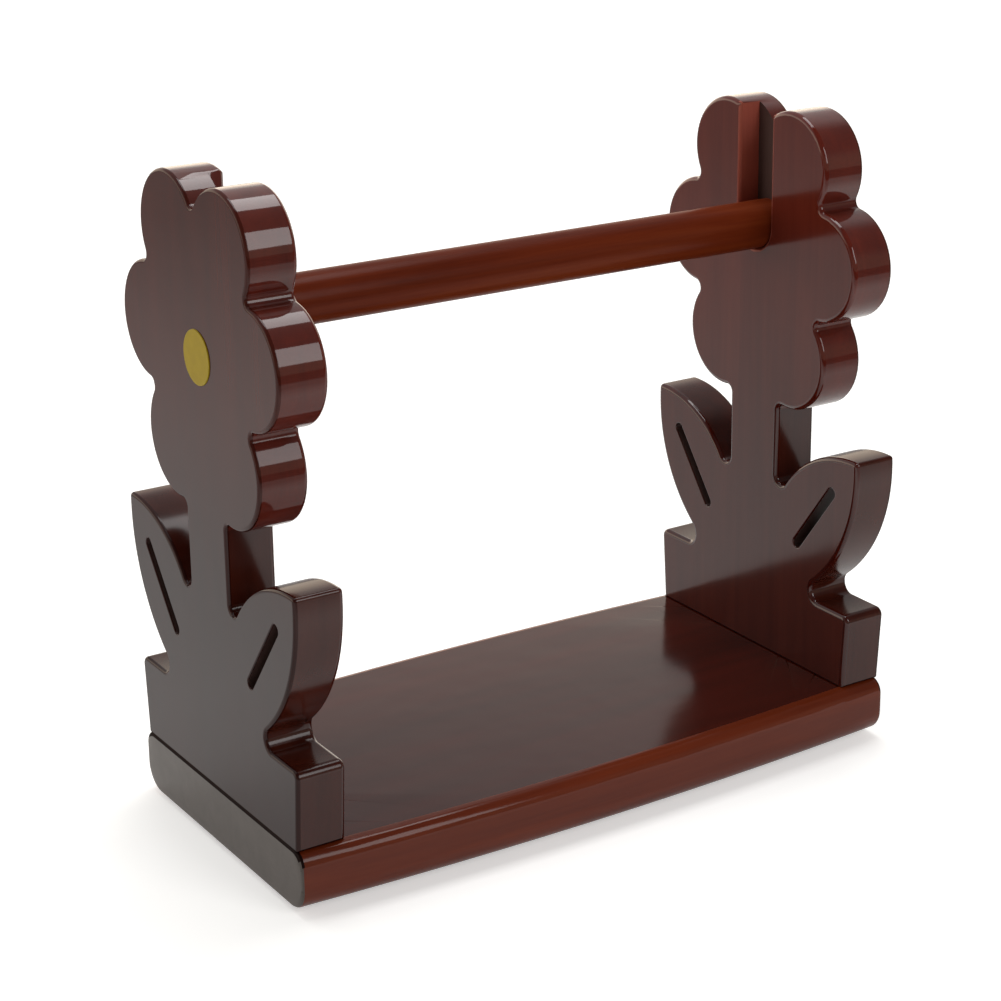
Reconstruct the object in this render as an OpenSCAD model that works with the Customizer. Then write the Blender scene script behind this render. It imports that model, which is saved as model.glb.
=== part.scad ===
// Yarn holder: two flower-shaped side panels on a base board, with a lift-out rod between them.
// Millimetres. +X runs along the rod to the right panel, -Y is the front and +Z is up.
// The origin is the middle of the footprint, on the surface that the pads stand on.

/* [Base board] */
// Overall length, flush with the outer faces of both panels
base_l = 247; // [180:1:340]
// Depth of the board at its two ends
base_end_w = 119; // [116:1:160]
// How far each long side bows out at its middle
base_bow = 4.5; // [1:0.5:12]
// Thickness of the board
base_t = 22; // [18:0.5:32]
// Rounding of the long top edges
base_round = 5.5; // [1:0.5:6]
// Rounding of the long bottom edges
base_under_round = 9; // [0.5:0.5:10]

/* [Flower panels] */
// Thickness of each panel
panel_t = 18; // [16:0.5:26]
// Width of the straight stem
stem_w = 28.8; // [27:0.2:36]

/* [Flower] */
// Height of the flower's middle above the board
flower_z = 156.6; // [148:0.2:190]
// Radius of each of the six petals
petal_r = 20.5; // [19:0.1:24]
// Height of the upper petals' centres above the flower's middle, and of the lower ones' below it
petal_rise = 35.6; // [32:0.1:39]
// Distance of the upper petals' centres from the middle line
top_petal_out = 18.5; // [15:0.1:21]
// Distance of the side petals' centres from the middle line
mid_petal_out = 36.1; // [32:0.1:40]
// Height of the side petals' centres above the flower's middle
mid_petal_up = 1.7; // [0:0.1:4]
// Distance of the lower petals' centres from the middle line
low_petal_out = 20; // [16:0.1:22]
// Radius in the notches between the petals
notch_r = 2.6; // [1.6:0.1:4]

/* [Leaves] */
// How far the leaves' outer edges stand in from the board's widest place
leaf_in = 2.5; // [0:0.5:4]
// Height above the board of the centre of the round outer edge that both leaves share
leaf_z = 84.6; // [80:0.2:89]
// Radius of a leaf's upper edge
leaf_top_r = 47.5; // [45:0.5:51]
// Distance of the upper edge's centre from the middle line
leaf_top_out = 58; // [55:0.5:60]
// Height of the upper edge's centre above the board
leaf_top_z = 42.6; // [38:0.2:46]
// Radius in the crook between leaf and stem
crook_r = 3; // [2:0.1:4]
// Width of the vein slot in each leaf
vein_w = 4; // [2:0.2:6]

/* [Foot] */
// How far each side of the foot stands in from the side of the board's end
foot_in = 2.8; // [0.5:0.1:7.5]
// How far each side of the foot leans out over its height
foot_flare = 2; // [1:0.1:5]
// Height of the foot's shoulders
foot_h = 29; // [27:0.5:33]
// Radius of the foot's upper corners
foot_corner_r = 3; // [2.4:0.1:5]
// Radius in the corner between foot and leaf
foot_notch_r = 4.2; // [2:0.1:5]

/* [Rod and its slots] */
// Diameter of the rod
rod_d = 18; // [14:0.5:22]
// Height of the resting rod's axis above the board
rod_z = 167.2; // [155:0.1:178]
// How far the slots lie behind the panel's middle line
rod_back = 1.5; // [0:0.5:4]
// Clearance of the rod in its slots, all told
slot_play = 1; // [0.4:0.1:2]
// Depth of the slot in the left panel's inner face
left_slot_depth = 6; // [5:0.5:12]
// Depth of the slot in the right panel's inner face
right_slot_depth = 9; // [5:0.5:12]
// Gap between each end of the rod and the floor of its slot
rod_end_gap = 1; // [0.5:0.1:2]
// Gap left under the resting rod
rod_seat_gap = 0.2; // [0.1:0.1:0.4]
// Chamfer on the rod's ends
rod_chamfer = 1; // [0.5:0.1:2]

/* [Flower centres] */
// Diameter of the yellow disc in each outer face
centre_d = 18.8; // [14:0.2:24]
// Thickness of the disc
centre_t = 3; // [2:0.2:4]
// How far the disc stands out of the face
centre_proud = 0.4; // [0.2:0.1:1]
// How far the disc lies below the flower's middle
centre_drop = 2.7; // [0:0.1:5]

/* [Fastenings] */
// Diameter of the wood screws' shanks
screw_d = 4; // [3:0.5:5]
// Length of the wood screws
screw_l = 40; // [35:1:44]
// Distance of the screws from the middle line
screw_out = 36; // [30:1:42]
// Diameter of the dowel pins
pin_d = 8; // [6:1:9]
// Length of the dowel pins
pin_l = 32; // [24:1:40]
// Distance of the dowel pins from the middle line
pin_out = 14; // [10:1:20]

/* [Pads] */
// Diameter of the pads under the board
pad_d = 14; // [8:1:18]
// Thickness of the pads
pad_t = 1.5; // [1:0.5:3]
// Distance of the pads from the board's ends
pad_in = 32; // [28:1:50]
// Distance of the pads from the middle line
pad_out = 42; // [35:1:45]

/* [Hidden] */
$fn = 96;
// Sides of the base board's two long bows, which have a very large radius
bow_fn = 720;
// Clearance around screws, pins and discs in their holes
hole_play = 0.1;
// How deep the screw heads are sunk, and the cross slot in them
screw_sink = 0.5;
drive_l = 0.8 * screw_d;
drive_w = screw_d / 6;
drive_depth = screw_d / 3;
// How far a cut runs past the face that it opens
overrun = 1;
// How far a fillet's circle runs into the edges that it joins, so that they cross cleanly
bite = 0.01;
// Colours of the stained boards, the paler rod, the paint and the fittings
wood = "#4f2d24";
rod_wood = "#8a4a22";
yellow = "#b99a2c";
steel = "#b8babd";
pin_wood = "#c9a877";
rubber = "#2a2a2c";

// Heights of the board's faces and of the resting rod
board_z = pad_t;
board_top_z = board_z + base_t;
rod_axis_z = board_top_z + rod_z;
panel_x = base_l / 2 - panel_t / 2;

// The board's outline
base_mid_half = base_end_w / 2 + base_bow;
bow_r = (pow(base_l / 2, 2) + pow(base_bow, 2)) / (2 * base_bow);

// The panels follow the board's sides, with their leaves and their feet
leaf_r = base_mid_half - leaf_in;
foot_w = base_end_w - 2 * foot_in;

// The slots that hold the rod
slot_w = rod_d + slot_play;
slot_seat_z = rod_z - rod_d / 2 + slot_w / 2 - rod_seat_gap;
rod_l = base_l - 2 * panel_t + left_slot_depth + right_slot_depth - 2 * rod_end_gap;
rod_middle_x = (right_slot_depth - left_slot_depth) / 2;

// Centres on one half of a panel, as [distance from the middle line, height above the board]
top_petal = [top_petal_out, flower_z + petal_rise];
mid_petal = [mid_petal_out, flower_z + mid_petal_up];
low_petal = [low_petal_out, flower_z - petal_rise];
leaf_edge = [0, leaf_z];
leaf_top = [leaf_top_out, leaf_top_z];

// Half a chord: how far a circle of radius r spreads at a distance d from its centre
function spread(r, d) = sqrt(pow(r, 2) - pow(d, 2));
// The centre of the fillet that touches petals a and b on the left of the way from a to b
function notch_between(a, b) =
    let (way = (b - a) / norm(b - a))
    (a + b) / 2 + spread(petal_r + notch_r, norm(b - a) / 2) * [-way[1], way[0]];
// The point that lies a length l from a towards b
function towards(a, b, l) = a + l * (b - a) / norm(b - a);

// Centres of the fillets
top_notch = [0, top_petal[1] + spread(petal_r + notch_r, top_petal[0])];
upper_notch = notch_between(top_petal, mid_petal);
lower_notch = notch_between(mid_petal, low_petal);
stem_notch_out = stem_w / 2 + notch_r;
stem_notch = [stem_notch_out, low_petal[1] - spread(petal_r + notch_r, stem_notch_out - low_petal[0])];
crook_out = stem_w / 2 + crook_r;
crook = [crook_out, leaf_top[1] + spread(leaf_top_r + crook_r, leaf_top[0] - crook_out)];
foot_notch_z = foot_h + foot_notch_r;
foot_notch = [spread(leaf_r + foot_notch_r, leaf_edge[1] - foot_notch_z), foot_notch_z];

// The foot's leaning sides and round corners
flare_angle = atan(foot_flare / foot_h);
foot_corner_z = foot_h - foot_corner_r;
foot_corner_out = foot_w / 2 + foot_corner_z * tan(flare_angle) - foot_corner_r / cos(flare_angle);
foot_corner = [foot_corner_out, foot_corner_z];

// The vein slots run up the leaf; their ends are shares of the leaf's radius
vein_low_shares = [0.457, -0.571];
vein_high_shares = [0.771, -0.159];
vein_low = leaf_edge + leaf_r * vein_low_shares;
vein_high = leaf_edge + leaf_r * vein_high_shares;

// Both halves of an outline, from its points on the right half, listed downwards
function both_halves(points) =
    concat(points, [for (i = [len(points) - 1 : -1 : 0]) [-points[i][0], points[i][1]]]);

module in_both_halves() {
    for (side = [0, 1])
        mirror([side, 0, 0])
            children();
}

// Upright cylinders about each centre, in both halves, that run past both faces by over
module rounds_at(centres, r, over) {
    in_both_halves()
        for (centre = centres)
            translate([centre[0], centre[1], -over])
                cylinder(h = panel_t + 2 * over, r = r);
}

module plate(points) {
    linear_extrude(panel_t)
        polygon(points);
}

// The petals, joined by a plate whose corners lie on the centres of petals and fillets
module flower() {
    rounds_at([top_petal, mid_petal, low_petal], petal_r, 0);
    difference() {
        plate(concat([top_notch],
            both_halves([top_petal, upper_notch, mid_petal, lower_notch, low_petal, stem_notch])));
        rounds_at([top_notch, upper_notch, lower_notch, stem_notch], notch_r + bite, overrun);
    }
}

// Each leaf lies inside both of its round edges
module leaves() {
    in_both_halves()
        intersection() {
            translate(leaf_edge)
                cylinder(h = panel_t, r = leaf_r);
            translate([leaf_top[0], leaf_top[1], -overrun])
                cylinder(h = panel_t + 2 * overrun, r = leaf_top_r);
        }
}

module foot() {
    foot_side = foot_corner + foot_corner_r * [cos(flare_angle), -sin(flare_angle)];
    plate(both_halves([[foot_corner_out, foot_h], foot_corner, foot_side, [foot_w / 2, 0]]));
    rounds_at([foot_corner], foot_corner_r + bite, 0);
}

// The stem, and plates with fillets in the crooks beside the stem and above the foot
module stem() {
    translate([-stem_w / 2, foot_h / 2, 0])
        cube([stem_w, low_petal[1] - foot_h / 2, panel_t]);
    difference() {
        plate(both_halves([crook, towards(crook, leaf_top, 2 * crook_r),
            towards(foot_notch, leaf_edge, 2 * foot_notch_r), foot_notch,
            [foot_notch[0], foot_h / 2]]));
        rounds_at([crook], crook_r + bite, overrun);
        rounds_at([foot_notch], foot_notch_r + bite, overrun);
    }
}

module vein_slot() {
    way = vein_high - vein_low;
    translate([vein_low[0], vein_low[1], -overrun])
        rotate([0, 0, atan2(way[1], way[0])])
            linear_extrude(panel_t + 2 * overrun) {
                circle(vein_w / 2);
                translate([norm(way), 0])
                    circle(vein_w / 2);
                translate([0, -vein_w / 2])
                    square([norm(way), vein_w]);
            }
}

// The slot in the inner face, open at the top and round at the bottom
module rod_slot(depth) {
    translate([rod_back, slot_seat_z, panel_t - depth])
        linear_extrude(depth + overrun) {
            circle(slot_w / 2);
            translate([-slot_w / 2, 0])
                square([slot_w, top_petal[1] + petal_r - slot_seat_z + overrun]);
        }
}

// A panel lying on its outer face: x is the way back and y the height above the board
module panel(slot_depth) {
    difference() {
        union() {
            flower();
            stem();
            leaves();
            foot();
        }
        in_both_halves()
            vein_slot();
        rod_slot(slot_depth);
        translate([0, flower_z - centre_drop, -overrun])
            cylinder(h = centre_t - centre_proud + overrun, d = centre_d + hole_play);
    }
}

// Puts a panel, or what goes with it, upright at the left end of the board
module at_left_end() {
    translate([-base_l / 2, 0, board_top_z])
        rotate([90, 0, 90])
            children();
}

module at_right_end() {
    mirror([1, 0, 0])
        at_left_end()
            children();
}

// A wood screw that points up, with the face of its flat head at the origin
module screw_shape(play) {
    r = screw_d / 2 + play;
    rotate_extrude()
        polygon([[0, 0], [screw_d + play, 0], [r, screw_d / 2], [r, screw_l - screw_d],
            [0, screw_l + play]]);
}

module screw() {
    difference() {
        screw_shape(0);
        for (turn = [0, 90])
            rotate([0, 0, turn])
                translate([-drive_l / 2, -drive_w / 2, -overrun])
                    cube([drive_l, drive_w, drive_depth + overrun]);
    }
}

module screw_hole() {
    screw_shape(hole_play);
    translate([0, 0, -screw_sink - overrun])
        cylinder(h = screw_sink + overrun, r = screw_d + hole_play);
}

// A dowel pin with chamfered ends, half in the board and half in the panel
module dowel_pin(play) {
    r = pin_d / 2 + play;
    edge = pin_d / 10;
    half = pin_l / 2 + play;
    rotate_extrude()
        polygon([[0, -half], [r - edge, -half], [r, edge - half], [r, half - edge], [r - edge, half],
            [0, half]]);
}

// Puts what goes under a panel on both sides of its middle line; end is -1 at the left
module screw_places(end) {
    for (side = [-1, 1])
        translate([end * panel_x, side * screw_out, board_z + screw_sink])
            children();
}

module pin_places(end) {
    for (side = [-1, 1])
        translate([end * panel_x, side * pin_out, board_top_z])
            children();
}

// The holes for one panel's screws and pins, through the board and up into the panel
module fastening_holes(end) {
    screw_places(end)
        screw_hole();
    pin_places(end)
        dowel_pin(hole_play);
}

// What rounding takes off a corner at the origin, whose material lies at -x and +y
module corner_waste(r) {
    difference() {
        translate([-r, -overrun])
            square(r + overrun);
        translate([-r, r])
            circle(r);
    }
}

// One long side of the board: a large disc that just reaches it, rounded above and below
module bowed_side() {
    translate([0, bow_r - base_mid_half, board_z])
        rotate_extrude($fn = bow_fn)
            difference() {
                translate([bow_r - 3 * base_mid_half, 0])
                    square([3 * base_mid_half, base_t]);
                translate([bow_r, 0])
                    corner_waste(base_under_round);
                translate([bow_r, base_t])
                    mirror([0, 1])
                        corner_waste(base_round);
            }
}

module base_board() {
    color(wood)
        difference() {
            intersection() {
                bowed_side();
                mirror([0, 1, 0])
                    bowed_side();
                translate([-base_l / 2, -base_l, 0])
                    cube([base_l, 2 * base_l, board_top_z + overrun]);
            }
            for (end = [-1, 1])
                fastening_holes(end);
        }
}

module left_flower_panel() {
    color(wood)
        difference() {
            at_left_end()
                panel(left_slot_depth);
            fastening_holes(-1);
        }
}

module right_flower_panel() {
    color(wood)
        difference() {
            at_right_end()
                panel(right_slot_depth);
            fastening_holes(1);
        }
}

module rod() {
    r = rod_d / 2;
    half = rod_l / 2;
    color(rod_wood)
        translate([rod_middle_x, rod_back, rod_axis_z])
            rotate([0, 90, 0])
                rotate_extrude()
                    polygon([[0, -half], [r - rod_chamfer, -half], [r, rod_chamfer - half],
                        [r, half - rod_chamfer], [r - rod_chamfer, half], [0, half]]);
}

module flower_centre() {
    translate([0, flower_z - centre_drop, -centre_proud])
        cylinder(h = centre_t, d = centre_d);
}

module left_flower_centre() {
    color(yellow)
        at_left_end()
            flower_centre();
}

module right_flower_centre() {
    color(yellow)
        at_right_end()
            flower_centre();
}

module left_screws() {
    color(steel)
        screw_places(-1)
            screw();
}

module right_screws() {
    color(steel)
        screw_places(1)
            screw();
}

module left_dowel_pins() {
    color(pin_wood)
        pin_places(-1)
            dowel_pin(0);
}

module right_dowel_pins() {
    color(pin_wood)
        pin_places(1)
            dowel_pin(0);
}

module base_pads() {
    color(rubber)
        for (end = [-1, 1], side = [-1, 1])
            translate([end * (base_l / 2 - pad_in), side * pad_out, 0])
                cylinder(h = pad_t, d = pad_d);
}

base_board();
left_flower_panel();
right_flower_panel();
rod();
left_flower_centre();
right_flower_centre();
left_screws();
right_screws();
left_dowel_pins();
right_dowel_pins();
base_pads();
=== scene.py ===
# %% [markdown]
# # A lacquered yarn holder, dressed in Blender
#
# The real object is a small piece of joinery: two flower-shaped boards on a bowed base board,
# with a loose rod between them. Everything is wood, stained a dark red-brown and given a clear
# gloss lacquer. The shapes arrive finished from the construction model, so this lesson is about
# what makes sawn boards look like polished wood: soft edges, grain, and a film that mirrors the
# room.

# %% Load the construction model
import math

import bmesh
import bpy
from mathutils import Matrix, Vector


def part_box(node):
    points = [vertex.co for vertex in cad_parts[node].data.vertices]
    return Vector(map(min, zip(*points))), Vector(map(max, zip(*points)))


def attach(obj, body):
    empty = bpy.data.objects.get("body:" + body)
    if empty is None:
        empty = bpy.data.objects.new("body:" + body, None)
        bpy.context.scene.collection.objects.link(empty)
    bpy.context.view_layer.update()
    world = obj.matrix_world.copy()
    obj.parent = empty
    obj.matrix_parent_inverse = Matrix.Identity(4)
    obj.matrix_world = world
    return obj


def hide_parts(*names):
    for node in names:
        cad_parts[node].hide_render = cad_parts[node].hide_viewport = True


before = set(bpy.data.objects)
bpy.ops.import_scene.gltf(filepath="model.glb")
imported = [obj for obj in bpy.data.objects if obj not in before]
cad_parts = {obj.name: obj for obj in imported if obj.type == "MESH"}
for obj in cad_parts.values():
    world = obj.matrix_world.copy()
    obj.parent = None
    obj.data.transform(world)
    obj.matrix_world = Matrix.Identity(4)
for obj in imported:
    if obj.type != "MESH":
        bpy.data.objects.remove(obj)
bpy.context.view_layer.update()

MM = 0.001

# %% [markdown]
# The camera comes first, because everything after it is judged through it. It stands in front of
# the near panel's corner and looks slightly down. Its position and lens were worked out from the
# photograph's own perspective, and the small shift only puts the object where that picture has it.

# %% Camera
camera_data = bpy.data.cameras.new("photo_camera")
camera_data.sensor_width = 36
camera_data.lens = 88.06
camera_data.shift_x = -0.1232
camera_data.shift_y = -0.0890
camera = bpy.data.objects.new("photo_camera", camera_data)
camera.location = (-0.4469, -0.7011, 0.4015)
camera.rotation_euler = [math.radians(a) for a in (72.330, -0.156, -35.018)]
bpy.context.scene.collection.objects.link(camera)
bpy.context.scene.camera = camera
print("camera stands", round(camera.location.length, 3), "m from the object's origin")

# %% [markdown]
# Two small tools serve every finish below. Colours are written the way a paint chart gives them,
# as sRGB hex, and a shader wants linear light, so one function converts them. The other adds a
# node to a material, sets its values and wires up its inputs in one call, which keeps each finish
# readable from top to bottom.

# %% Colour and node helpers
def linear(hex_colour):
    channels = [int(hex_colour[i:i + 2], 16) / 255 for i in (1, 3, 5)]
    light = [c / 12.92 if c <= 0.04045 else ((c + 0.055) / 1.055) ** 2.4 for c in channels]
    return (*light, 1.0)


def add_node(tree, kind, inputs=None, **settings):
    node = tree.nodes.new(kind)
    for name, value in settings.items():
        setattr(node, name, value)
    for name, value in (inputs or {}).items():
        socket = node.inputs[name]
        if isinstance(value, bpy.types.NodeSocket):
            tree.links.new(value, socket)
        else:
            socket.default_value = value
    return node


def new_finish(name):
    finish = bpy.data.materials.new(name)
    finish.use_nodes = True
    finish.node_tree.nodes.clear()
    return finish, finish.node_tree


def finish_surface(tree, surface):
    output = add_node(tree, "ShaderNodeOutputMaterial")
    tree.links.new(surface, output.inputs["Surface"])


print("dark stain in linear light:", [round(c, 3) for c in linear("#4a1d16")])

# %% [markdown]
# Lacquered wood is two surfaces in one: stained wood below, and above it a clear film with its own
# sharp reflections. The wood comes first. It has fibres that run along the board, a broad figure,
# and a few glued staves that took the stain a little differently. Fibres and figure could be
# painted by hand, but plain noise does it as well, at its real width and drawn out along the grain.

# %% Grain
# Real fibres are finer, and are drawn just as coarse as they need to be to show in the render
FIBRE_WIDTH, FIBRE_LENGTH = 0.7 * MM, 32 * MM
FIGURE_WIDTH, FIGURE_LENGTH = 9 * MM, 120 * MM
FIBRE_SHARE, FIGURE_SHARE, STAVE_SHARE = 0.2, 0.8, 0.12


def along_grain(tree, place, grain, width, length, offset):
    scale = [1 / width] * 3
    scale["XYZ".index(grain)] = 1 / length
    return add_node(tree, "ShaderNodeMapping", {
        "Vector": place, "Scale": scale, "Location": offset}).outputs["Vector"]


def stave_tone(tree, place, stave_mm, seed):
    across = add_node(tree, "ShaderNodeSeparateXYZ", {"Vector": place}).outputs["Y"]
    strip = add_node(tree, "ShaderNodeMath", {0: across, 1: stave_mm * MM},
                     operation="DIVIDE").outputs[0]
    strip = add_node(tree, "ShaderNodeMath", {0: strip, 1: seed}, operation="ADD").outputs[0]
    strip = add_node(tree, "ShaderNodeMath", {0: strip}, operation="FLOOR").outputs[0]
    return add_node(tree, "ShaderNodeTexWhiteNoise", {"W": strip},
                    noise_dimensions="1D").outputs["Value"]


def wood_pattern(tree, place, grain, stave_mm, seed):
    fibre_place = along_grain(tree, place, grain, FIBRE_WIDTH, FIBRE_LENGTH,
                              (seed, 2 * seed, 3 * seed))
    fibres = add_node(tree, "ShaderNodeTexNoise", {"Vector": fibre_place, "Scale": 1.0,
                      "Detail": 3.0, "Roughness": 0.6}).outputs["Fac"]
    figure_place = along_grain(tree, place, grain, FIGURE_WIDTH, FIGURE_LENGTH,
                               (3 * seed, seed, seed))
    figure = add_node(tree, "ShaderNodeTexNoise", {"Vector": figure_place, "Scale": 1.0,
                      "Detail": 4.0, "Roughness": 0.55, "Distortion": 0.4}).outputs["Fac"]
    tone = add_node(tree, "ShaderNodeMath", {0: fibres, 1: FIBRE_SHARE},
                    operation="MULTIPLY").outputs[0]
    tone = add_node(tree, "ShaderNodeMath", {0: figure, 1: FIGURE_SHARE, 2: tone},
                    operation="MULTIPLY_ADD").outputs[0]
    tone = add_node(tree, "ShaderNodeMath", {0: stave_tone(tree, place, stave_mm, seed),
                    1: STAVE_SHARE, 2: tone}, operation="MULTIPLY_ADD").outputs[0]
    return fibres, tone


print("fibres", FIBRE_WIDTH / MM, "mm wide, figure", FIGURE_WIDTH / MM, "mm wide")

# %% [markdown]
# The pattern only shifts the stain between three close tones, because a dark stain hides most of
# the grain. A ramp lays the tones over the part of the pattern where most of the wood lies.

# %% Stain
DARK_AT, MIDDLE_AT, LIGHT_AT = 0.38, 0.56, 0.74


def stain_colour(tree, tone, tones):
    stain = add_node(tree, "ShaderNodeValToRGB", {"Fac": tone})
    stain.color_ramp.elements[0].position = DARK_AT
    stain.color_ramp.elements[0].color = linear(tones[0])
    stain.color_ramp.elements[1].position = LIGHT_AT
    stain.color_ramp.elements[1].color = linear(tones[2])
    stain.color_ramp.elements.new(MIDDLE_AT).color = linear(tones[1])
    return stain.outputs["Color"]


print("the stain is darkest below", DARK_AT, "and lightest above", LIGHT_AT)

# %% [markdown]
# Towards the foot the wood is painted darker and less red. This is painted shade, because less
# light reaches the lower panel. On the petals' edges the film is thickest at the top. Both changes
# are gradual, so each is a slow ramp over the height. Where the lower edges face up, dust and hands
# have dulled them, so there the film fades with the way the surface faces.

# %% What changes over a panel
# Painted shade: over this height range the stain colour darkens towards the foot
FOOT_SHADE_RUN = (84 * MM, 184 * MM)
FILM_RUN = (150 * MM, 235 * MM)
DULL_FROM = 0.4


def up_the_board(tree, place, heights, at_foot, at_top):
    height = add_node(tree, "ShaderNodeSeparateXYZ", {"Vector": place}).outputs["Z"]
    return add_node(tree, "ShaderNodeMapRange", {
        "Value": height, "From Min": heights[0], "From Max": heights[1],
        "To Min": at_foot, "To Max": at_top}, interpolation_type="SMOOTHSTEP").outputs["Result"]


def dulled_on_top(tree, film, top_film):
    facing = add_node(tree, "ShaderNodeNewGeometry").outputs["Normal"]
    facing = add_node(tree, "ShaderNodeSeparateXYZ", {"Vector": facing}).outputs["Z"]
    return add_node(tree, "ShaderNodeMapRange", {
        "Value": facing, "From Min": DULL_FROM, "From Max": 1.0,
        "To Min": film, "To Max": top_film}, interpolation_type="SMOOTHSTEP").outputs["Result"]


# Painted shade darkens the wood from the upper height down to the foot
print("stain runs from", round(FOOT_SHADE_RUN[1] / MM), "mm down to", round(FOOT_SHADE_RUN[0] / MM), "mm")

# %% [markdown]
# Now wood and film come together in one finish. The wood layer is nearly matt, and the shader's
# coat is the lacquer. The film follows the fibres by a few microns and is itself very slightly
# wavy, which is what makes a mirrored edge waver on real lacquer. Only the coat takes these bumps,
# because the wood below was sanded flat.

# %% Lacquered wood
FIBRE_RELIEF, WAVE_RELIEF, WAVE_WIDTH = 0.002 * MM, 0.05 * MM, 14 * MM


def film_surface(tree, place, fibres):
    wave_place = add_node(tree, "ShaderNodeMapping", {"Vector": place,
                          "Scale": [1 / WAVE_WIDTH] * 3}).outputs["Vector"]
    wave = add_node(tree, "ShaderNodeTexNoise", {"Vector": wave_place, "Scale": 1.0,
                    "Detail": 1.0}).outputs["Fac"]
    fibre_bump = add_node(tree, "ShaderNodeBump", {
        "Height": fibres, "Distance": FIBRE_RELIEF, "Strength": 1.0}).outputs["Normal"]
    return add_node(tree, "ShaderNodeBump", {
        "Height": wave, "Distance": WAVE_RELIEF, "Strength": 1.0,
        "Normal": fibre_bump}).outputs["Normal"]


def stained_wood(name, tones, grain, stave_mm, seed, film, film_roughness, haze=0.0,
                 foot_shade=1.0, foot_film=None, top_film=None):
    finish, tree = new_finish(name)
    place = add_node(tree, "ShaderNodeTexCoord").outputs["Object"]
    fibres, tone = wood_pattern(tree, place, grain, stave_mm, seed)
    # The stain colour is scaled down towards the foot: painted shade
    colour = add_node(tree, "ShaderNodeVectorMath", {
        0: stain_colour(tree, tone, tones),
        "Scale": up_the_board(tree, place, FOOT_SHADE_RUN, foot_shade, 1.0)},
        operation="SCALE").outputs["Vector"]
    if foot_film is not None:
        film = up_the_board(tree, place, FILM_RUN, foot_film, film)
    if top_film is not None:
        film = dulled_on_top(tree, film, top_film)
    shader = add_node(tree, "ShaderNodeBsdfPrincipled", {
        "Base Color": colour, "Roughness": 0.55, "IOR": 1.5,
        "Specular IOR Level": haze, "Coat Weight": film, "Coat Roughness": film_roughness,
        "Coat IOR": 1.5, "Coat Normal": film_surface(tree, place, fibres)})
    finish_surface(tree, shader.outputs["BSDF"])
    return finish


print("the film waves over", round(WAVE_WIDTH / MM), "mm")

# %% [markdown]
# One stain and one tin of lacquer still give several finishes, because each surface was worked
# differently. The broad faces of the panels were sanded flat and rubbed down, so their film is
# soft. The petals' edges kept the full wet gloss, which draws the softboxes as hard bands. Lower
# down the edges were rubbed again and mirror less. Each finish is three close tones, the way of
# the grain, the width of a stave, and how much film there is and how rough it is. The seed shifts
# the pattern, so that boards differ, and haze is the weak sheen of the wood under the film.

# %% Panel finishes
PANEL_BOARD = {"grain": "Z", "stave_mm": 31, "seed": 1.7}
# Rubbed lacquer on a flat face: a cool, even veil over the dark stain
outer_faces = stained_wood("rubbed_lacquer_outer_face", ("#3e170f", "#451a11", "#4c1d14"),
                           film=0.62, film_roughness=0.13, foot_shade=0.32, **PANEL_BOARD)
# The same on the inner faces, a little redder, with a soft mirror image of rod and base
inner_faces = stained_wood("rubbed_lacquer_inner_face", ("#521d14", "#592117", "#60251a"),
                           film=0.70, film_roughness=0.13, foot_shade=0.6, **PANEL_BOARD)
# Full gloss lacquer on the petals' edges: hard bright bands between deep red ones
petal_edges = stained_wood("gloss_lacquer_petal_edge", ("#48150c", "#52180d", "#5c1c0f"),
                           film=0.98, film_roughness=0.062, haze=0.1, foot_film=0.68,
                           **PANEL_BOARD)
# Twice-sanded edges of leaves, stem and foot: darker, blurred, and dulled where they face up
lower_edges = stained_wood("rubbed_lacquer_lower_edge", ("#40180f", "#481c12", "#502015"),
                           film=0.80, film_roughness=0.16, foot_shade=0.7, top_film=0.48,
                           **PANEL_BOARD)
# Outer arrises, rubbed thin by sanding; their darker red is painted shade for the dark line beside
# the bands
outer_arris_shade = stained_wood("thin_lacquer_arris_painted_shade", ("#38120b", "#40150d", "#481910"),
                             film=0.50, film_roughness=0.12, foot_shade=0.45, **PANEL_BOARD)
# Inner arrises, thick with lacquer: thin bright highlights along the petals
inner_arrises = stained_wood("gloss_lacquer_arris", ("#4c170d", "#56190e", "#611e10"),
                             film=1.0, film_roughness=0.06, foot_shade=0.45, **PANEL_BOARD)
# The far slot's walls, stained and hardly lacquered: a matt, lighter red
SLOT_BOARD = {"grain": "Z", "stave_mm": 31, "seed": 2.2}
slot_walls = stained_wood("stained_slot_wall", ("#7e382b", "#894133", "#944939"),
                          film=0.2, film_roughness=0.3, haze=0.1, **SLOT_BOARD)
# The bottoms of the slots and the veins: painted shade, dark and greyish
groove_shade = stained_wood("groove_painted_shade", ("#40302c", "#463430", "#4c3834"),
                       film=0.3, film_roughness=0.3, haze=0.1, **SLOT_BOARD)
# The eased edges where panel and base meet: painted shade in the seam, nearly black
seam_shade = stained_wood("seam_painted_shade", ("#140504", "#180705", "#1c0806"), grain="X",
                          stave_mm=31, seed=2.2, film=0.1, film_roughness=0.3)
print("panel finishes:", len(bpy.data.materials))

# %% [markdown]
# The base board lies in the light and shows its stain as a deeper, warmer red. Its top is a soft
# mirror, its long sides are redder because they were sprayed thickly, and its sawn ends are dull,
# with a grey that is painted reflection of the white paper over the brown end grain. The rod is
# handled all the time, so it has only a thin satin film and keeps the most orange tone.

# %% Base and rod finishes
BASE_BOARD = {"grain": "X", "stave_mm": 29, "seed": 4.3}
# Satin lacquer on the top: a deep red that mirrors the panels softly
base_top = stained_wood("satin_lacquer_base_top", ("#320a03", "#3a0d04", "#421006"),
                        film=0.60, film_roughness=0.15, **BASE_BOARD)
# Gloss lacquer on the rounded long sides: one long highlight over warm red
base_sides = stained_wood("gloss_lacquer_base_side", ("#551d08", "#60220a", "#6b280d"),
                          film=0.5, film_roughness=0.10, haze=0.05, **BASE_BOARD)
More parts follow.
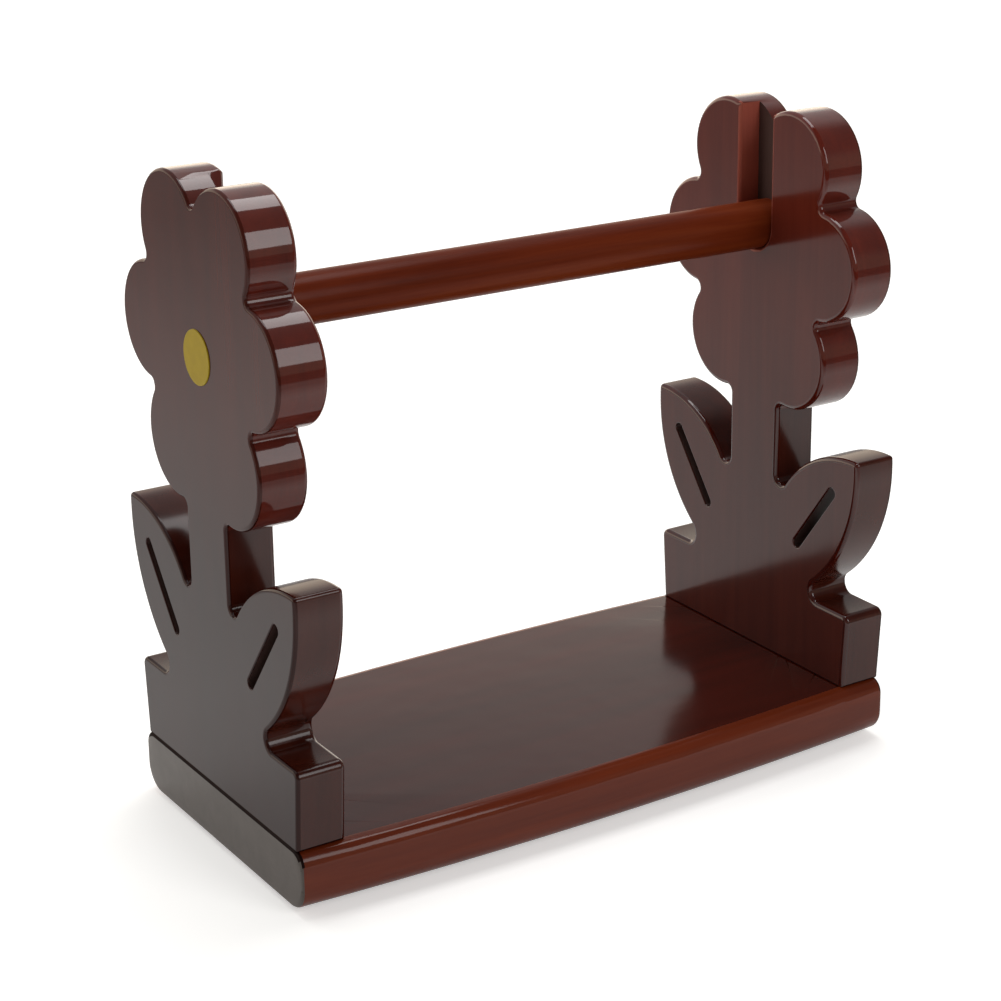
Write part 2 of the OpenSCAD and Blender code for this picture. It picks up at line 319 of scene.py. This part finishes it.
# End grain: finely mottled, with a weak sheen; its grey-brown is painted reflection of the white
# paper
end_grain_reflection = stained_wood("end_grain_painted_reflection", ("#4b4440", "#4f4844", "#534c48"),
                         film=0.45, film_roughness=0.14, haze=0.1, **BASE_BOARD)
# Sawn ends of the rod: the same stain, but end grain drinks it and dries dark and dull
rod_ends = stained_wood("stained_rod_end", ("#2c1108", "#36160a", "#421d0f"), grain="X",
                        stave_mm=60, seed=5.1, film=0.10, film_roughness=0.35, haze=0.1)
# Satin rod: orange-brown, with only a faint streak of light
rod_wood = stained_wood("satin_wood_rod", ("#501907", "#60220b", "#6f2d11"), grain="X",
                        stave_mm=60, seed=7.9, film=0.14, film_roughness=0.22, haze=0.03)
print("wood finishes:", len(bpy.data.materials))

# %% [markdown]
# The flower centres are painted a warm yellow with a brush-on enamel: one flat colour that is
# only a little uneven, under a satin sheen. The brush leaves marks a few millimetres long.

# %% Yellow enamel paint
# Brushed enamel: a flat mustard yellow with a hint of unevenness
BRUSH_MARK, BRUSH_RELIEF = 4 * MM, 0.02 * MM
yellow_enamel, tree = new_finish("yellow_enamel_paint")
place = add_node(tree, "ShaderNodeTexCoord").outputs["Object"]
mottle = add_node(tree, "ShaderNodeTexNoise", {"Vector": place, "Scale": 1 / BRUSH_MARK,
                  "Detail": 3.0}).outputs["Fac"]
paint = add_node(tree, "ShaderNodeValToRGB", {"Fac": mottle})
paint.color_ramp.elements[0].color = linear("#9a841d")
paint.color_ramp.elements[1].color = linear("#ad9623")
brush = add_node(tree, "ShaderNodeBump", {
    "Height": mottle, "Distance": BRUSH_RELIEF}).outputs["Normal"]
shader = add_node(tree, "ShaderNodeBsdfPrincipled", {
    "Base Color": paint.outputs["Color"], "Roughness": 0.45, "IOR": 1.5,
    "Specular IOR Level": 0.12, "Normal": brush})
finish_surface(tree, shader.outputs["BSDF"])
print("paint:", yellow_enamel.name)

# %% [markdown]
# The screws under the base don't show in the photograph, but they are on the real thing. They
# are zinc-plated steel. Plating could be a plain grey metal, but the crystals of real zinc make
# faint clouds a millimetre or two across, which is what keeps it from looking like chrome.

# %% Zinc plating
# Zinc-plated steel: a soft blue-white metal with faint clouds
CLOUD_WIDTH = 1.5 * MM
zinc_steel, tree = new_finish("zinc_plated_steel")
place = add_node(tree, "ShaderNodeTexCoord").outputs["Object"]
cloud = add_node(tree, "ShaderNodeTexNoise", {"Vector": place, "Scale": 1 / CLOUD_WIDTH,
                 "Detail": 3.0}).outputs["Fac"]
plating = add_node(tree, "ShaderNodeValToRGB", {"Fac": cloud})
plating.color_ramp.elements[0].color = linear("#9fa4a8")
plating.color_ramp.elements[1].color = linear("#c6cacd")
dull = add_node(tree, "ShaderNodeMapRange", {"Value": cloud, "To Min": 0.26,
                "To Max": 0.42}).outputs["Result"]
shader = add_node(tree, "ShaderNodeBsdfPrincipled", {
    "Base Color": plating.outputs["Color"], "Metallic": 1.0, "Roughness": dull})
finish_surface(tree, shader.outputs["BSDF"])
print("fasteners:", zinc_steel.name)

# %% [markdown]
# The dowel pins inside the joints are raw beech, which is pale and closely flecked. The flecks
# are short dashes about half a millimetre wide that run along the pin.

# %% Raw beech
# Raw beech: pale and matt, with short darker flecks along the pin
FLECK_WIDTH, FLECK_LENGTH = 0.5 * MM, 4 * MM
raw_beech, tree = new_finish("raw_beech")
place = add_node(tree, "ShaderNodeTexCoord").outputs["Object"]
flecks = add_node(tree, "ShaderNodeMapping", {"Vector": place,
                  "Scale": (1 / FLECK_WIDTH, 1 / FLECK_WIDTH, 1 / FLECK_LENGTH)}).outputs["Vector"]
fleck = add_node(tree, "ShaderNodeTexNoise", {"Vector": flecks, "Scale": 1.0,
                 "Detail": 2.0}).outputs["Fac"]
beech = add_node(tree, "ShaderNodeValToRGB", {"Fac": fleck})
beech.color_ramp.elements[0].position = 0.35
beech.color_ramp.elements[0].color = linear("#b08a5c")
beech.color_ramp.elements[1].position = 0.62
beech.color_ramp.elements[1].color = linear("#cfae80")
shader = add_node(tree, "ShaderNodeBsdfPrincipled", {
    "Base Color": beech.outputs["Color"], "Roughness": 0.75, "IOR": 1.5})
finish_surface(tree, shader.outputs["BSDF"])
print("pins:", raw_beech.name)

# %% [markdown]
# The pads under the base are moulded rubber. It is nearly black, matt, and pitted by the mould at
# about half a millimetre.

# %% Moulded rubber
# Moulded rubber: almost black, with a fine pitted skin that scatters the light
PIT_WIDTH, PIT_DEPTH = 0.5 * MM, 0.05 * MM
moulded_rubber, tree = new_finish("moulded_rubber")
place = add_node(tree, "ShaderNodeTexCoord").outputs["Object"]
grit = add_node(tree, "ShaderNodeTexNoise", {"Vector": place, "Scale": 1 / PIT_WIDTH,
                "Detail": 2.0}).outputs["Fac"]
rubber = add_node(tree, "ShaderNodeValToRGB", {"Fac": grit})
rubber.color_ramp.elements[0].color = linear("#1c1c1e")
rubber.color_ramp.elements[1].color = linear("#2c2c2f")
pitted = add_node(tree, "ShaderNodeBump", {
    "Height": grit, "Distance": PIT_DEPTH}).outputs["Normal"]
shader = add_node(tree, "ShaderNodeBsdfPrincipled", {
    "Base Color": rubber.outputs["Color"], "Roughness": 0.7, "IOR": 1.52, "Normal": pitted})
finish_surface(tree, shader.outputs["BSDF"])
print("pads:", moulded_rubber.name)

# %% [markdown]
# A construction mesh is a heap of loose triangles, so each wooden piece starts as a copy whose
# corners are welded and whose flat faces are joined up. The copy keeps the true shape. Blender's
# operators work on the active object, so each piece is finished before the next one is copied.

# %% Copy a construction part
WELD = 0.001 * MM


def copy_of(node_name, piece_name, flatness=0.2):
    bpy.ops.object.select_all(action="DESELECT")
    piece = bpy.data.objects.new(piece_name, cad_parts[node_name].data.copy())
    bpy.context.scene.collection.objects.link(piece)
    bpy.context.view_layer.objects.active = piece
    piece.select_set(True)
    bpy.ops.object.mode_set(mode="EDIT")
    bpy.ops.mesh.select_all(action="SELECT")
    bpy.ops.mesh.remove_doubles(threshold=WELD)
    bpy.ops.mesh.dissolve_limited(angle_limit=math.radians(flatness))
    bpy.ops.mesh.select_all(action="DESELECT")
    bpy.ops.object.mode_set(mode="OBJECT")
    return piece


print("corners weld within, mm:", WELD / MM)

# %% [markdown]
# What a copy still lacks is what a router and sandpaper give: rounded arrises. Edges are picked by
# where they lie, each kind gets its own share of the rounding, and a Bevel modifier cuts them all
# at once, so that two roundings that meet make one clean corner.

# %% Pick and round edges
ROUNDING = 1.8 * MM
SMOOTH_BELOW = math.radians(32)


def weigh_edges(piece, radius, belongs):
    bpy.ops.object.mode_set(mode="EDIT")
    bpy.ops.mesh.select_mode(type="EDGE")
    bpy.ops.mesh.select_all(action="DESELECT")
    mesh = bmesh.from_edit_mesh(piece.data)
    picked = [edge for edge in mesh.edges if belongs(edge)]
    for edge in picked:
        edge.select_set(True)
    bmesh.update_edit_mesh(piece.data)
    if picked:
        bpy.ops.transform.edge_bevelweight(value=radius / ROUNDING)
    bpy.ops.mesh.select_all(action="DESELECT")
    bpy.ops.object.mode_set(mode="OBJECT")
    return len(picked)


def round_over(piece, segments=5):
    bpy.ops.object.shade_smooth_by_angle(angle=SMOOTH_BELOW)
    bevel = piece.modifiers.new("rounding", "BEVEL")
    bevel.limit_method = "WEIGHT"
    bevel.width = ROUNDING
    bevel.segments = segments
    # Clamping would let the tightest corner make every rounding smaller
    bevel.use_clamp_overlap = False
    bevel.harden_normals = True
    bpy.ops.object.modifier_apply(modifier=bevel.name)


print("largest rounding, mm:", ROUNDING / MM)

# %% [markdown]
# A dressed piece takes its main finish first and then its special ones, face by face. The same
# call says which body the piece rides on and which construction part it stands for.

# %% Dress a piece
def dress(piece, body, finish, slot_name, *nodes):
    piece.data.materials.clear()
    piece.data.materials.append(finish)
    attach(piece, body)
    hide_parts(*nodes)
    print(piece.name, "has", len(piece.data.polygons), "faces")


def finish_faces(piece, finish, belongs):
    piece.data.materials.append(finish)
    number = len(piece.data.materials) - 1
    for face in piece.data.polygons:
        if belongs(face):
            face.material_index = number


# %% [markdown]
# The flower panels are sawn from 18 mm board, and their edges differ in kind. To pick them, the
# script has to know a panel's landmarks: the disc's recess, the rod slot with its round seat just
# below the rod, the two veins, the foot, and the six circles that the petals are cut to.

# %% Landmarks on a panel
CLOSE, ROD_GAP = 0.02 * MM, 0.2 * MM
BASE_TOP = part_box("base_board")[1].z
DISC_AT = (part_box("left_flower_centre")[0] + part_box("left_flower_centre")[1]) / 2
ROD_LOW, ROD_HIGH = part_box("rod")
SLOT_Y = (ROD_LOW.y + ROD_HIGH.y) / 2
SLOT_HALF, SLOT_ROUND = 9.5 * MM, 1.2 * MM
SLOT_SEAT = ROD_LOW.z - ROD_GAP + SLOT_HALF
DISC_REACH = 11 * MM
VEIN_OUT, VEIN_UP, VEIN_WAY = 37.8 * MM, BASE_TOP + 62.1 * MM, (19.3, 25.3)
VEIN_HALF_LENGTH, VEIN_HALF_WIDTH = 18.5 * MM, 2.3 * MM
FOOT_HALF = 56.7 * MM
LEAF_TOP = BASE_TOP + 97 * MM
PETAL_RADIUS = 20.5 * MM
PETAL_CENTRES = [Vector((side * out * MM, BASE_TOP + up * MM)) for side in (-1, 1)
                 for out, up in ((18.5, 192.2), (36.1, 158.3), (20.0, 121.0))]


def near_vein(place):
    side = math.copysign(1, place.y)
    way = Vector((side * VEIN_WAY[0], VEIN_WAY[1])).normalized()
    offset = place.yz - Vector((side * VEIN_OUT, VEIN_UP))
    return abs(offset.dot(way)) < VEIN_HALF_LENGTH and abs(offset.cross(way)) < VEIN_HALF_WIDTH


def in_seat(place, margin=CLOSE):
    away = (place.yz - Vector((SLOT_Y, SLOT_SEAT))).length
    return place.z < SLOT_SEAT and away < SLOT_HALF + margin


def at_slot(place, margin=CLOSE):
    on_side = place.z > SLOT_SEAT and abs(abs(place.y - SLOT_Y) - SLOT_HALF) < margin
    return on_side or in_seat(place, margin)


print("slot seat at height", round(SLOT_SEAT / MM, 1), "mm, petals:", len(PETAL_CENTRES))

# %% [markdown]
# An edge's place tells what it is. An arris lies in a broad face of the panel and meets its sawn
# edge, the foot's edges lie on the board, and a leaf's tip runs through the thickness, far out.

# %% Which edge is which
SHARP = math.radians(35)
TIP_OUT, TIP_LENGTH = 60.5 * MM, 4 * MM


def middle(edge):
    return (edge.verts[0].co + edge.verts[1].co) / 2


def lies_at(edge, x):
    return all(abs(vert.co.x - x) < CLOSE for vert in edge.verts)


def meets_wall(edge):
    return any(abs(face.normal.x) < 0.5 for face in edge.link_faces)


def at_bottom(edge):
    return all(abs(vert.co.z - BASE_TOP) < CLOSE for vert in edge.verts)


def at_leaf_tip(edge):
    along_x = abs(edge.verts[0].co.x - edge.verts[1].co.x) > TIP_LENGTH
    return along_x and abs(middle(edge).y) > TIP_OUT and edge.calc_face_angle(0) > SHARP


def is_arris(edge, x):
    return lies_at(edge, x) and meets_wall(edge)


print("an edge is sharp above", round(math.degrees(SHARP)), "degrees")

# %% [markdown]
# All the way round the outline the arris is rounded over: by 1.3 mm outside, where it only has to
# be kind to the hand, and by 1.8 mm inside, where it draws thin bright lines along the petals.
# The slot gets 1.2 mm so that the rod slides in, the leaves' pointed tips are blunted by 1.3 mm,
# and the veins and the foot's lower edges are just eased.

# %% Round a panel's edges
OUTER_ROUND, TIP_ROUND, VEIN_ROUND, FOOT_ROUND = 1.3 * MM, 1.3 * MM, 0.5 * MM, 0.7 * MM
FOOT_CLOSE = 0.1 * MM


def round_panel(piece, outer_x, inner_x):
    def round_the_foot(edge):
        p = middle(edge)
        on_side = min(abs(p.x - outer_x), abs(p.x - inner_x)) < CLOSE
        on_end = abs(abs(p.y) - FOOT_HALF) < FOOT_CLOSE
        return at_bottom(edge) and (on_side or on_end) and edge.calc_face_angle(0) > SHARP

    def on_outline(edge, x):
        p = middle(edge)
        in_disc = x == outer_x and (p - DISC_AT).yz.length < DISC_REACH
        in_slot = x == inner_x and at_slot(p)
        return is_arris(edge, x) and not (at_bottom(edge) or in_disc or in_slot or near_vein(p))

    counts = {
        "inner outline": weigh_edges(piece, ROUNDING, lambda e: on_outline(e, inner_x)),
        "outer outline": weigh_edges(piece, OUTER_ROUND, lambda e: on_outline(e, outer_x)),
        "slot": weigh_edges(piece, SLOT_ROUND,
                            lambda e: is_arris(e, inner_x) and at_slot(middle(e))),
        "veins": weigh_edges(piece, VEIN_ROUND,
                             lambda e: (is_arris(e, inner_x) or is_arris(e, outer_x))
                             and near_vein(middle(e))),
        "leaf tips": weigh_edges(piece, TIP_ROUND, at_leaf_tip),
        "foot": weigh_edges(piece, FOOT_ROUND, round_the_foot),
    }
    round_over(piece)
    print(piece.name, "rounded edges:", counts)


# %% [markdown]
# The petals' edges are mirrors, and a mirror shows every flat. Blender guesses the way a curved
# wall faces from its facets, and uneven facets make the reflected bands jagged. The petals are
# true circles, so the right direction is known: straight out from the circle's centre. It is
# written into the mesh where the wall lies on such a circle, and nothing moves.

# %% True round petals
CIRCLE_CLOSE = 0.06 * MM
UPRIGHT = 0.03


def true_round_petals(piece):
    mesh = piece.data
    normals = [corner.vector.copy() for corner in mesh.corner_normals]
    turned = 0
    for number, loop in enumerate(mesh.loops):
        place = mesh.vertices[loop.vertex_index].co
        for centre in PETAL_CENTRES:
            away = place.yz - centre
            straight_out = Vector((0, away.x, away.y)).normalized()
            on_circle = abs(away.length - PETAL_RADIUS) < CIRCLE_CLOSE
            on_wall = abs(normals[number].x) < UPRIGHT and normals[number].dot(straight_out) > 0.99
            if on_circle and on_wall:
                normals[number] = straight_out
                turned += 1
    mesh.normals_split_custom_set(normals)
    print(piece.name, "corners on a petal's circle:", turned)


# %% [markdown]
# Finishes are laid on face by face, and faces are told apart by the way they look: a broad face
# along the panel's thickness, a sawn edge across it, and a rounding in between. The slot's walls
# are the sawn edges that stand just its width apart, deeper in than its rounding.

# %% Which face is which
FLAT = 0.999


def lies_on(face, x):
    return abs(face.normal.x) > FLAT and abs(face.center.x - x) < CLOSE


def is_wall(face):
    return abs(face.normal.x) < UPRIGHT


def is_rounded(face):
    return UPRIGHT < abs(face.normal.x) < FLAT


def in_slot(face, inner_x, slot_depth):
    p = face.center
    in_depth = SLOT_ROUND < abs(p.x - inner_x) < slot_depth
    on_side = abs(face.normal.y) > 0.99 and abs(abs(p.y - SLOT_Y) - SLOT_HALF) < CLOSE
    return in_depth and (on_side or in_seat(p))


print("a broad face turns at most", round(math.degrees(math.acos(FLAT)), 1), "degrees")

# %% [markdown]
# Now the two panels themselves. A panel is cut once more in its thickness, level with the slot's
# bottom, so that the facets beside the slot stay even. Then its edges are rounded, the petals are
# made true, and the faces take their finishes.

# %% Flower panels
LEFT_SLOT_DEPTH, RIGHT_SLOT_DEPTH = 6 * MM, 9 * MM


def flower_panel(node_name, piece_name, outward, slot_depth, slot_finish):
    low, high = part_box(node_name)
    outer_x, inner_x = (high.x, low.x) if outward > 0 else (low.x, high.x)
    floor_x = inner_x + outward * slot_depth
    piece = copy_of(node_name, piece_name)
    bpy.ops.object.mode_set(mode="EDIT")
    bpy.ops.mesh.select_all(action="SELECT")
    bpy.ops.mesh.bisect(plane_co=(floor_x, 0, 0), plane_no=(1, 0, 0))
    bpy.ops.object.mode_set(mode="OBJECT")
    round_panel(piece, outer_x, inner_x)
    true_round_petals(piece)
    dress(piece, "stand", petal_edges, "dark_wood", node_name)

    def rounded_inside(face):
        return is_rounded(face) and abs(face.center.x - inner_x) < abs(face.center.x - outer_x)

    # The roundings first take the outer arrises' painted shade
    finish_faces(piece, outer_arris_shade, is_rounded)
    finish_faces(piece, inner_arrises, rounded_inside)
    finish_faces(piece, slot_finish,
                 lambda face: rounded_inside(face) and at_slot(face.center, SLOT_ROUND))
    finish_faces(piece, outer_faces, lambda face: lies_on(face, outer_x))
    finish_faces(piece, inner_faces, lambda face: lies_on(face, inner_x))
    finish_faces(piece, lower_edges, lambda face: is_wall(face) and face.center.z < LEAF_TOP)
    finish_faces(piece, slot_finish, lambda face: in_slot(face, inner_x, slot_depth))
    # Slot bottoms and vein walls take the painted shade of a recess
    finish_faces(piece, groove_shade, lambda face: lies_on(face, floor_x)
                 or is_wall(face) and near_vein(face.center))
    # Painted shade on the foot's eased underside, in the seam
    finish_faces(piece, seam_shade,
                 lambda face: face.center.z < BASE_TOP + FOOT_ROUND and face.normal.z < -0.1)


flower_panel("left_flower_panel", "left_panel_wood", -1, LEFT_SLOT_DEPTH, petal_edges)
flower_panel("right_flower_panel", "right_panel_wood", 1, RIGHT_SLOT_DEPTH, slot_walls)

# %% [markdown]
# The base board already has its long edges rounded. Its sawn ends still need theirs. A bevel
# would do it, but the board's bowed sides end in slivers that a bevel trips over, so the slivers
# are first pushed into the end face and welded. Then rings are cut close to each end and drawn
# in, each a little more than the last, which is a quarter round made by hand.

# %% Base board
RIM, RIM_STEPS = 1.2 * MM, 4
SLIVERS_WITHIN, SLIVER_WELD, RING_CLOSE = 0.6 * MM, 0.12 * MM, 0.005 * MM
base_low, base_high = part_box("base_board")
base_middle_z = (base_low.z + base_high.z) / 2
half_height = base_high.z - base_middle_z


def pick_verts(piece, belongs):
    bpy.ops.mesh.select_all(action="DESELECT")
    for vert in bmesh.from_edit_mesh(piece.data).verts:
        vert.select_set(belongs(vert))
    bmesh.update_edit_mesh(piece.data)


def ring_place(end, step):
    return end * (base_high.x - RIM * (1 - math.sin(math.pi / 2 * step / RIM_STEPS)))


base = copy_of("base_board", "base_board_wood", flatness=0.01)
bpy.ops.object.mode_set(mode="EDIT")
bpy.ops.mesh.select_mode(type="VERT")
for end in (-1, 1):
    pick_verts(base, lambda vert: end * vert.co.x > base_high.x - SLIVERS_WITHIN)
    bpy.ops.transform.resize(value=(0, 1, 1), center_override=(end * base_high.x, 0, 0))
    bpy.ops.mesh.remove_doubles(threshold=SLIVER_WELD)
    for step in range(RIM_STEPS):
        bpy.ops.mesh.select_all(action="SELECT")
        bpy.ops.mesh.bisect(plane_co=(ring_place(end, step), 0, 0), plane_no=(1, 0, 0))
    for step in range(1, RIM_STEPS + 1):
        ring_x = ring_place(end, step)
        inset = RIM * (1 - math.cos(math.pi / 2 * step / RIM_STEPS))
        pick_verts(base, lambda vert: abs(vert.co.x - ring_x) < RING_CLOSE)
        bpy.ops.transform.resize(value=(1, 1 - inset / base_high.y, 1 - inset / half_height),
                                 center_override=(ring_x, 0, base_middle_z))
bpy.ops.mesh.select_all(action="DESELECT")
bpy.ops.object.mode_set(mode="OBJECT")
print("rim of the sawn ends, mm:", RIM / MM)

# %% [markdown]
# A curved side that meets large flats needs its normals weighed by area, so that the flats stay
# flat to the eye. Then the board takes its finishes: top, sides, sawn ends with their rims in a
# grey that is painted reflection, and painted shade along the upper rims, where panel and base
# meet.

# %% Shade and dress the base board
bpy.ops.object.shade_smooth_by_angle(angle=SMOOTH_BELOW)
even = base.modifiers.new("even_normals", "WEIGHTED_NORMAL")
even.keep_sharp = True
bpy.ops.object.modifier_apply(modifier=even.name)
dress(base, "stand", base_sides, "dark_wood", "base_board")


def on_rim(face):
    return abs(face.center.x) > base_high.x - RIM and abs(face.normal.x) < FLAT


finish_faces(base, base_top, lambda face: abs(face.normal.z) > FLAT)
# The sawn ends and their rims take the grey painted reflection
finish_faces(base, end_grain_reflection, lambda face: abs(face.normal.x) > FLAT
             or on_rim(face) and abs(face.normal.x) > 0.5)
# Painted shade on the upward rims that lie under the panels' feet
finish_faces(base, seam_shade, lambda face: on_rim(face) and face.normal.z > 0.2)

# %% [markdown]
# The rod is a plain dowel. Its chamfered ends sit out of sight in the slots until it is lifted
# out, and they are sanded soft like any dowel's.

# %% Rod
ROD_ROUND, CHAMFER_TURN = 0.4 * MM, math.radians(20)
rod = copy_of("rod", "rod_wood")
rod_edges = weigh_edges(rod, ROD_ROUND, lambda e: e.calc_face_angle(0) > CHAMFER_TURN)
round_over(rod, segments=3)
dress(rod, "rod", rod_wood, "rod_wood", "rod")
finish_faces(rod, rod_ends, lambda face: abs(face.normal.x) > 0.9)
print("softened rod edges:", rod_edges)

# %% [markdown]
# The flower centres are small turned discs, pressed into the panels and painted. A soft rim keeps
# them from looking like stickers. The pads under the base get the same treatment.

# %% Flower centres and pads
DISC_ROUND, PAD_ROUND, RIM_TURN = 0.3 * MM, 0.4 * MM, math.radians(50)


def soft_rim(node_name, piece_name, radius):
    piece = copy_of(node_name, piece_name)
    weigh_edges(piece, radius, lambda e: e.calc_face_angle(0) > RIM_TURN)
    round_over(piece, segments=3)
    return piece


for side in ("left", "right"):
    disc = soft_rim(f"{side}_flower_centre", f"{side}_painted_centre", DISC_ROUND)
    dress(disc, "stand", yellow_enamel, "yellow_paint", f"{side}_flower_centre")
pads = soft_rim("base_pads", "rubber_pads", PAD_ROUND)
dress(pads, "stand", moulded_rubber, "pad_rubber", "base_pads")

# %% [markdown]
# Screws and dowel pins are right as they come, so they keep their own meshes and only take their
# finish.

# %% Screws and pins
for node_name, finish in (("left_screws", zinc_steel), ("right_screws", zinc_steel),
                          ("left_dowel_pins", raw_beech), ("right_dowel_pins", raw_beech)):
    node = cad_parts[node_name]
    node.data.materials.clear()
    node.data.materials.append(finish)
    print(node_name, "is finished as", finish.name)

# %% [markdown]
# A gloss film shows its room, so the studio matters as much as the wood. The floor is white paper.
# In reflections it isn't equally white all over: the object's glossy sides show that the paper was
# bright close around it and fell off towards the camera, so a profile of places, in metres from
# front to back, and brightnesses gives what they mirror.

# %% What the lacquer mirrors of the floor
# White paper sweep: clean white for the eye, uneven where the lacquer mirrors it
FRONT_EDGE, BACK_EDGE = (-0.70, 0.05), (0.90, 0.42)
MIRRORED_PROFILE = ((-0.60, 0.44), (-0.44, 0.46), (-0.24, 0.95), (-0.10, 0.70), (0.12, 1.0),
                    (0.42, 0.88), (0.55, 0.76), (0.69, 0.62))
white_sweep, tree = new_finish("white_paper_sweep")
path = add_node(tree, "ShaderNodeLightPath").outputs
place = add_node(tree, "ShaderNodeTexCoord").outputs["Object"]
depth = add_node(tree, "ShaderNodeSeparateXYZ", {"Vector": place}).outputs["Y"]
depth = add_node(tree, "ShaderNodeMapRange", {"Value": depth, "From Min": -1.0, "From Max": 1.0})
mirrored = add_node(tree, "ShaderNodeValToRGB", {"Fac": depth.outputs["Result"]})
for element, (y, bright) in zip(mirrored.color_ramp.elements, (FRONT_EDGE, BACK_EDGE)):
    element.position = (1 + y) / 2
    element.color = (bright, bright, bright, 1)
for y, bright in MIRRORED_PROFILE:
    mirrored.color_ramp.elements.new((1 + y) / 2).color = (bright, bright, bright, 1)
share = add_node(tree, "ShaderNodeMix", {"Factor": path["Is Glossy Ray"], "A": 1.0,
                 "B": mirrored.outputs["Color"]}).outputs["Result"]
print("places in the profile:", len(mirrored.color_ramp.elements))

# %% [markdown]
# For the eye and for reflections the paper has a little light of its own, which lifts it to a
# clean white ground. It is weaker near the object, so that the shadow stays, and stronger far out,
# where the lamps hardly reach. The sheet itself is one large plane, just below the pads.

# %% Floor
GLOW_NEAR, GLOW_FAR = (0.5, 0.45), (2.5, 0.80)
FLOOR_SIDE, FLOOR_DROP = 14, 0.05 * MM
seen = add_node(tree, "ShaderNodeMath", {0: path["Is Camera Ray"], 1: path["Is Glossy Ray"]},
                operation="MAXIMUM").outputs[0]
seen = add_node(tree, "ShaderNodeMath", {0: seen, 1: path["Is Transmission Ray"]},
                operation="MAXIMUM").outputs[0]
away = add_node(tree, "ShaderNodeVectorMath", {0: place}, operation="LENGTH").outputs["Value"]
level = add_node(tree, "ShaderNodeMapRange", {
    "Value": away, "From Min": GLOW_NEAR[0], "From Max": GLOW_FAR[0],
    "To Min": GLOW_NEAR[1], "To Max": GLOW_FAR[1]}).outputs["Result"]
lift = add_node(tree, "ShaderNodeMath", {0: seen, 1: level}, operation="MULTIPLY").outputs[0]
lift = add_node(tree, "ShaderNodeMath", {0: lift, 1: share}, operation="MULTIPLY").outputs[0]
white = add_node(tree, "ShaderNodeMix", {"Factor": share, "A": (0, 0, 0, 1),
                 "B": linear("#f4f4f2")}, data_type="RGBA").outputs["Result"]
paper = add_node(tree, "ShaderNodeBsdfDiffuse", {"Color": white}).outputs["BSDF"]
glow = add_node(tree, "ShaderNodeEmission", {"Color": (1, 1, 1, 1), "Strength": lift})
both = add_node(tree, "ShaderNodeAddShader", {0: paper, 1: glow.outputs["Emission"]})
finish_surface(tree, both.outputs["Shader"])
bpy.ops.object.select_all(action="DESELECT")
bpy.ops.mesh.primitive_plane_add(size=FLOOR_SIDE, location=(0, 0, -FLOOR_DROP))
floor = bpy.context.object
floor.name = "studio_floor"
floor.data.materials.append(white_sweep)
print("floor:", floor.name)

# %% [markdown]
# The photograph gives the lights away in the bands on the petals: one softbox almost overhead,
# one in front and to the right, and dark between them. Each is a plain rectangle, placed so that
# its mirror image falls where the band is, and its strength is given as brightness, so that a
# larger box doesn't look brighter in the lacquer.

# %% Softboxes
def softbox(name, place, aim, width, height, radiance):
    data = bpy.data.lights.new(name, "AREA")
    data.shape = "RECTANGLE"
    data.size = width
    data.size_y = height
    data.energy = radiance * math.pi * width * height
    lamp = bpy.data.objects.new(name, data)
    lamp.location = place
    lamp.rotation_euler = (Vector(aim) - Vector(place)).to_track_quat("-Z", "Y").to_euler()
    bpy.context.scene.collection.objects.link(lamp)
    print(name, "gives", round(data.energy, 2), "W")


softbox("overhead_softbox", place=(0.15, 0.21, 1.40), aim=(0.15, 0.16, 0.15),
        width=0.90, height=0.62, radiance=4.7)
softbox("front_softbox", place=(0.27, -1.12, 0.78), aim=(0.05, 0.0, 0.17),
        width=0.55, height=0.66, radiance=4.0)

# %% [markdown]
# The rest of the room is a dim ceiling and front, and a paler wall behind the object. Low down
# that wall is in full light: the base top mirrors it and turns from deep red to a warm grey. The
# eye itself sees plain white there, as it does on the floor.

# %% World
WARM_WALL = linear("#fff0dc")
ROOM_LIGHT, WALL_LIGHT, LOW_WALL_GAIN = 0.12, 0.68, 2.3
WALL_FADE, LOW_FADE = (-0.15, 0.30), (0.20, 0.50)
world = bpy.data.worlds.new("dim_studio")
bpy.context.scene.world = world
world.use_nodes = True
tree = world.node_tree
tree.nodes.clear()
way = add_node(tree, "ShaderNodeTexCoord").outputs["Generated"]
way = add_node(tree, "ShaderNodeSeparateXYZ", {"Vector": way}).outputs
for_eye = add_node(tree, "ShaderNodeLightPath").outputs["Is Camera Ray"]
wall = add_node(tree, "ShaderNodeMapRange", {
    "Value": way["Y"], "From Min": WALL_FADE[0], "From Max": WALL_FADE[1],
    "To Min": ROOM_LIGHT, "To Max": WALL_LIGHT}, interpolation_type="SMOOTHSTEP").outputs["Result"]
low = add_node(tree, "ShaderNodeMapRange", {
    "Value": way["Z"], "From Min": LOW_FADE[0], "From Max": LOW_FADE[1],
    "To Min": 1.0, "To Max": 0.0}, interpolation_type="SMOOTHSTEP").outputs["Result"]
low = add_node(tree, "ShaderNodeMix", {"Factor": for_eye, "A": low, "B": 0.0}).outputs["Result"]
gain = add_node(tree, "ShaderNodeMath", {0: low, 1: LOW_WALL_GAIN, 2: 1.0},
                operation="MULTIPLY_ADD").outputs[0]
level = add_node(tree, "ShaderNodeMath", {0: wall, 1: gain}, operation="MULTIPLY").outputs[0]
level = add_node(tree, "ShaderNodeMix", {"Factor": for_eye, "A": level, "B": 1.0}).outputs["Result"]
tint = add_node(tree, "ShaderNodeMix", {"Factor": low, "A": (1, 1, 1, 1), "B": WARM_WALL},
                data_type="RGBA").outputs["Result"]
room = add_node(tree, "ShaderNodeBackground", {"Color": tint, "Strength": level})
output = add_node(tree, "ShaderNodeOutputWorld")
tree.links.new(room.outputs["Background"], output.inputs["Surface"])
bpy.context.scene.view_settings.view_transform = "Standard"
print("world:", world.name)
